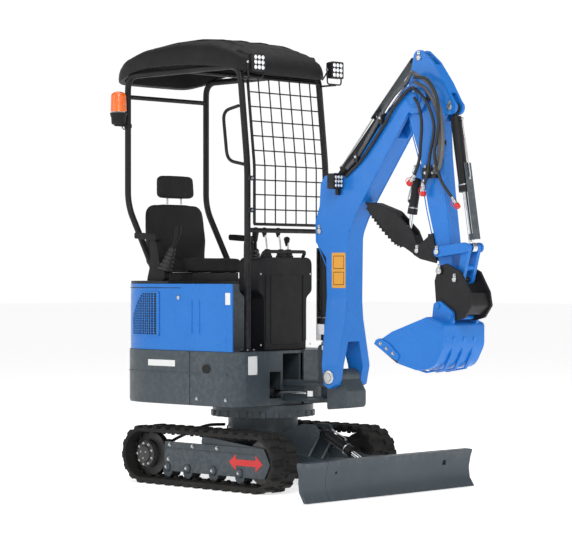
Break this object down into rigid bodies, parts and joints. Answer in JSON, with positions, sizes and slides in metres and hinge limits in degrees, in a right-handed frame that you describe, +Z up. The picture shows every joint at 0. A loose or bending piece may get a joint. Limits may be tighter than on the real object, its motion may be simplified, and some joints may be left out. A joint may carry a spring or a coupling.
{
  "type": "mini excavator",
  "caption": "Small tracked excavator with a two-post-pair canopy, offset seat deck, cranked boom, arm with thumb, toothless grading bucket and front dozer blade.",
  "frame": {"origin": "on the ground under the middle of the box round the whole machine", "axes": "+X to the machine's left, -Y the way it digs (blade and bucket end), +Z up"},
  "size_m": [1.23, 2.3134, 2.2981],
  "materials": {
    "blue": "bright blue machine enamel, worn at edges",
    "slate": "dark slate grey enamel",
    "black": "satin black coating",
    "rubber": "matte black track rubber",
    "vinyl": "black vinyl seat cover",
    "steel": "ground and plated rod",
    "iron": "dark oiled casting",
    "amber": "clear amber lens"
  },
  "bodies": {
    "arm": {"arm": "blue", "thumb_mount": "black"},
    "arm_barrel": {"arm_cylinder_barrel": "black"},
    "arm_rod": {"arm_cylinder_rod": "steel"},
    "blade": {"blade": "slate", "blade_wing_left": "slate", "blade_wing_right": "slate"},
    "blade_barrel": {"blade_cylinder_barrel": "black"},
    "blade_rod": {"blade_cylinder_rod": "steel"},
    "boom": {"boom": "blue", "boom_lamp": "black"},
    "boom_barrel": {"boom_cylinder_barrel": "black"},
    "boom_rod": {"boom_cylinder_rod": "steel"},
    "bucket": {"bucket": "blue", "quick_hitch": "black"},
    "bucket_barrel": {"bucket_cylinder_barrel": "black"},
    "bucket_link": {"bucket_link": "blue"},
    "bucket_rod": {"bucket_cylinder_rod": "steel"},
    "guide_link": {"guide_link": "blue"},
    "house": {"beacon": "amber", "canopy_frame": "black", "canopy_roof": "black", "console_left": "black", "console_right": "black", "counterweight": "slate", "engine_block": "iron", "engine_hood": "blue", "front_cover": "black", "front_guard": "black", "hand_rail": "black", "headrest": "vinyl", "platform": "slate", "seat_back": "vinyl", "seat_cushion": "vinyl", "seat_deck": "black", "side_skirt_left": "slate", "side_skirt_right": "slate", "travel_levers": "black", "work_lamp_left": "black", "work_lamp_right": "black"},
    "rear_door": {"rear_door": "blue"},
    "swing": {"swing_bracket": "slate"},
    "swing_barrel": {"swing_cylinder_barrel": "black"},
    "swing_rod": {"swing_cylinder_rod": "steel"},
    "thumb": {"thumb": "black"},
    "thumb_barrel": {"thumb_cylinder_barrel": "black"},
    "thumb_rod": {"thumb_cylinder_rod": "steel"},
    "undercarriage": {"car_body": "slate", "idler_left": "iron", "idler_right": "iron", "slew_ring": "iron", "sprocket_left": "iron", "sprocket_right": "iron", "track_frame_left": "slate", "track_frame_right": "slate", "track_left": "rubber", "track_right": "rubber"}
  },
  "joints": [
    {"name": "house_slew", "type": "hinge", "parent": "undercarriage", "child": "house", "pos_m": [0, 0.29667, 0.414], "axis": [0, 0, 1], "continuous": true},
    {"name": "door_hinge", "type": "hinge", "parent": "house", "child": "rear_door", "pos_m": [0.2265, 1.01767, 0.86], "axis": [0, 0, -1], "range_deg": [0, 100]},
    {"name": "boom_swing", "type": "hinge", "parent": "house", "child": "swing", "pos_m": [0, -0.17333, 0.485], "axis": [0, 0, 1], "range_deg": [-50, 50]},
    {"name": "boom_lift", "type": "hinge", "parent": "swing", "child": "boom", "pos_m": [0, -0.28133, 0.569], "axis": [1, 0, 0], "range_deg": [-5, 50]},
    {"name": "arm_reach", "type": "hinge", "parent": "boom", "child": "arm", "pos_m": [0, -0.78333, 1.92], "axis": [-1, 0, 0], "range_deg": [0, 95]},
    {"name": "bucket_curl", "type": "hinge", "parent": "arm", "child": "bucket", "pos_m": [0, -0.96533, 1.094], "axis": [-1, 0, 0], "range_deg": [-30, 75]},
    {"name": "thumb_turn", "type": "hinge", "parent": "arm", "child": "thumb", "pos_m": [0, -0.79333, 1.19], "axis": [-1, 0, 0], "range_deg": [0, 50]},
    {"name": "blade_lift", "type": "hinge", "parent": "undercarriage", "child": "blade", "pos_m": [0, 0.00667, 0.15], "axis": [-1, 0, 0], "range_deg": [-12, 18]},
    {"name": "boom_barrel_hinge", "type": "hinge", "parent": "boom", "child": "boom_barrel", "pos_m": [0, -0.15733, 1.294], "axis": [1, 0, 0], "range_deg": [-1.21, 6.67]},
    {"name": "boom_rod_slide", "type": "slide", "parent": "boom_barrel", "child": "boom_rod", "axis": [0, 0, -1], "range_m": [-0.0173, 0.1456]},
    {"name": "arm_barrel_hinge", "type": "hinge", "parent": "boom", "child": "arm_barrel", "pos_m": [0, -0.23333, 1.53], "axis": [1, 0, 0], "range_deg": [-6.23, 1]},
    {"name": "arm_rod_slide", "type": "slide", "parent": "arm_barrel", "child": "arm_rod", "axis": [0, -0.6922, 0.7217], "range_m": [-0.2905, 0.003]},
    {"name": "guide_link_hinge", "type": "hinge", "parent": "arm", "child": "guide_link", "pos_m": [0, -0.93133, 1.183], "axis": [1, 0, 0], "range_deg": [-36.3, 14.88]},
    {"name": "bucket_link_hinge", "type": "hinge", "parent": "bucket", "child": "bucket_link", "pos_m": [0, -1.05533, 1.052], "axis": [1, 0, 0], "range_deg": [-26.86, 66.24]},
    {"name": "bucket_barrel_hinge", "type": "hinge", "parent": "arm", "child": "bucket_barrel", "pos_m": [0, -0.98833, 1.868], "axis": [1, 0, 0], "range_deg": [-1, 1]},
    {"name": "bucket_rod_slide", "type": "slide", "parent": "bucket_barrel", "child": "bucket_rod", "axis": [0, -0.1589, -0.9873], "range_m": [-0.1196, 0.0496]},
    {"name": "thumb_barrel_hinge", "type": "hinge", "parent": "arm", "child": "thumb_barrel", "pos_m": [0, -0.76533, 1.575], "axis": [1, 0, 0], "range_deg": [-1, 1.55]},
    {"name": "thumb_rod_slide", "type": "slide", "parent": "thumb_barrel", "child": "thumb_rod", "axis": [0, 0.2009, -0.9796], "range_m": [-0.003, 0.1003]},
    {"name": "swing_barrel_hinge", "type": "hinge", "parent": "house", "child": "swing_barrel", "pos_m": [-0.13, 0.43667, 0.485], "axis": [0, 0, 1], "range_deg": [-1.83, 1.83]},
    {"name": "swing_rod_slide", "type": "slide", "parent": "swing_barrel", "child": "swing_rod", "axis": [0.0168, -0.9999, 0], "range_m": [-0.0929, 0.0929]},
    {"name": "blade_barrel_hinge", "type": "hinge", "parent": "undercarriage", "child": "blade_barrel", "pos_m": [0, -0.12333, 0.292], "axis": [1, 0, 0], "range_deg": [-21.64, 14.63]},
    {"name": "blade_rod_slide", "type": "slide", "parent": "blade_barrel", "child": "blade_rod", "axis": [0, -0.9023, -0.4311], "range_m": [-0.0584, 0.0399]}
  ],
  "couplings": [
    {"joint": "boom_barrel_hinge", "follows": "boom_lift", "ratio": 0.12131},
    {"joint": "boom_rod_slide", "follows": "boom_lift", "m_per_rad": 0.16344},
    {"joint": "arm_barrel_hinge", "follows": "arm_reach", "ratio": -0.059292},
    {"joint": "arm_rod_slide", "follows": "arm_reach", "m_per_rad": -0.17337},
    {"joint": "guide_link_hinge", "follows": "bucket_curl", "ratio": -0.47598},
    {"joint": "bucket_link_hinge", "follows": "bucket_curl", "ratio": 0.87526},
    {"joint": "bucket_barrel_hinge", "follows": "bucket_curl", "ratio": 0.002523},
    {"joint": "bucket_rod_slide", "follows": "bucket_curl", "m_per_rad": -0.089058},
    {"joint": "thumb_barrel_hinge", "follows": "thumb_turn", "ratio": 0.018991},
    {"joint": "thumb_rod_slide", "follows": "thumb_turn", "m_per_rad": 0.11145},
    {"joint": "swing_barrel_hinge", "follows": "boom_swing", "ratio": -0.024597},
    {"joint": "swing_rod_slide", "follows": "boom_swing", "m_per_rad": 0.10297},
    {"joint": "blade_barrel_hinge", "follows": "blade_lift", "ratio": -1.1689},
    {"joint": "blade_rod_slide", "follows": "blade_lift", "m_per_rad": -0.17619}
  ]
}
